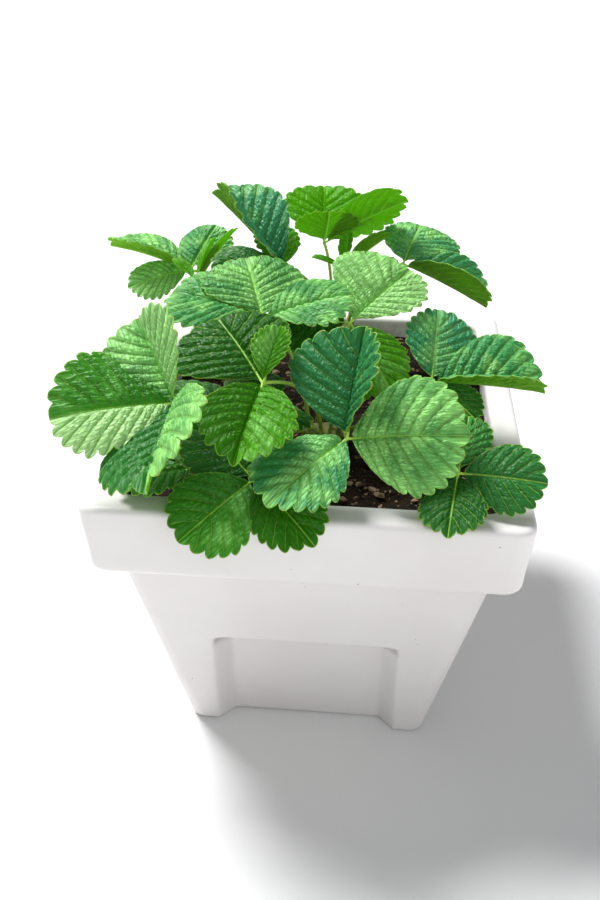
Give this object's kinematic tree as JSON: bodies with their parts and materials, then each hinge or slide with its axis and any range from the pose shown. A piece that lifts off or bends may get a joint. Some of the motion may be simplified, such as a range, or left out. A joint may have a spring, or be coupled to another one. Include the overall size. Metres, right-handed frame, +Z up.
{
  "type": "potted strawberry plant",
  "caption": "Leafy strawberry plant with toothed three-part leaves growing in a rectangular rimmed planter filled with soil.",
  "frame": {"origin": "middle of the planter's underside, on the surface that it stands on", "axes": "+Z up, +Y along the planter's length away from the short wall that faces the viewer, +X to the right across the planter"},
  "size_m": [0.3584, 0.4453, 0.3643],
  "materials": {
    "planter": "satin off-white moulded plastic, slightly dusty",
    "soil": "damp dark brown potting soil with pale chips of bark",
    "crown": "brown-green crown with dry pointed scales",
    "leaf": "hairy green leaf, quilted above, paler and strongly veined below"
  },
  "bodies": {
    "root": {"planter": "planter", "soil": "soil", "crown_front": "crown", "crown_back": "crown", "leaf_front_1": "leaf", "leaf_front_2": "leaf", "leaf_front_3": "leaf", "leaf_front_4": "leaf", "leaf_front_5": "leaf", "leaf_front_6": "leaf", "leaf_front_7": "leaf", "leaf_front_8": "leaf", "leaf_front_9": "leaf", "leaf_front_10": "leaf", "leaf_back_1": "leaf", "leaf_back_2": "leaf", "leaf_back_3": "leaf", "leaf_back_4": "leaf", "leaf_back_5": "leaf", "leaf_back_6": "leaf"}
  },
  "joints": []
}
